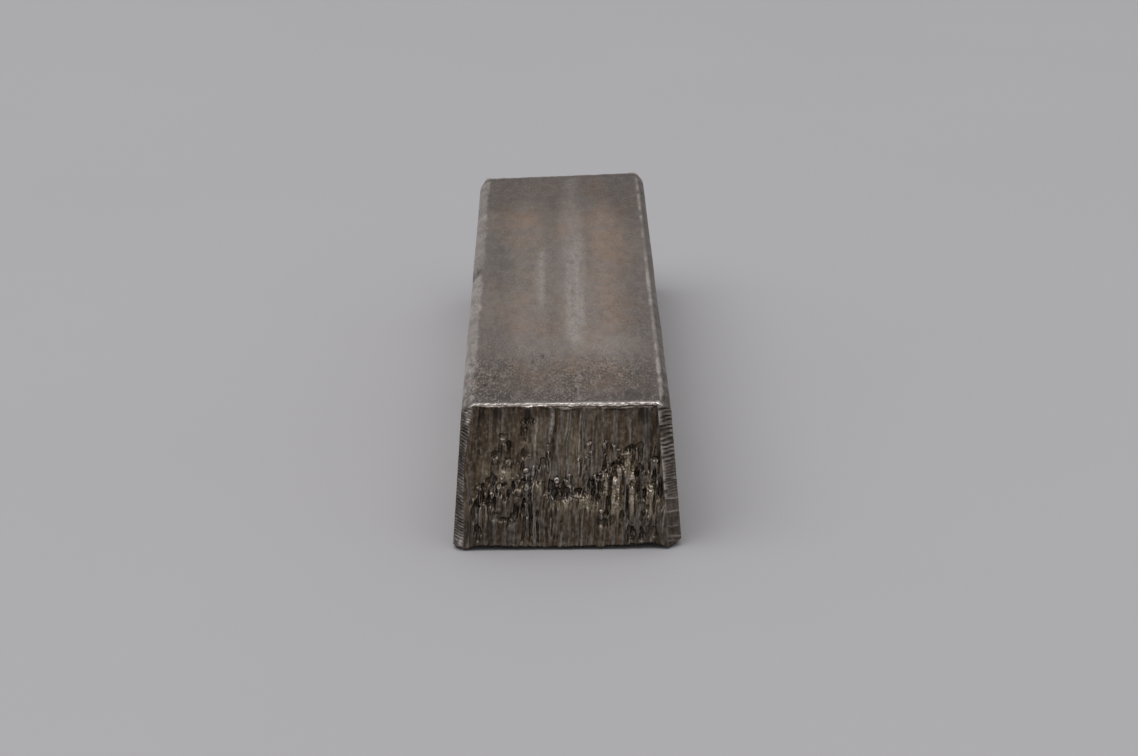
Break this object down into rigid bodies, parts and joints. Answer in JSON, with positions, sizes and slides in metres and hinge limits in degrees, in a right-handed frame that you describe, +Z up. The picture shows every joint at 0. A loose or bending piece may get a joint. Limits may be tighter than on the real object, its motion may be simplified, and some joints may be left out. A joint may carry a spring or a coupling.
{
  "type": "metal ingot",
  "caption": "Small tapered silver bar with rounded shoulders and sheared ends, lying on its wide base; stock metal for weighing, stacking or melting.",
  "frame": {"origin": "on the base, under the middle of the bar", "axes": "+Z up, +Y along the bar from its square front end to its askew rear end, +X across to the longer side"},
  "size_m": [0.0186, 0.0678, 0.0127],
  "materials": {
    "toned_silver": "dark grey-brown toned silver, satin, bright on worn edges"
  },
  "bodies": {
    "root": {"ingot": "toned_silver"}
  },
  "joints": []
}
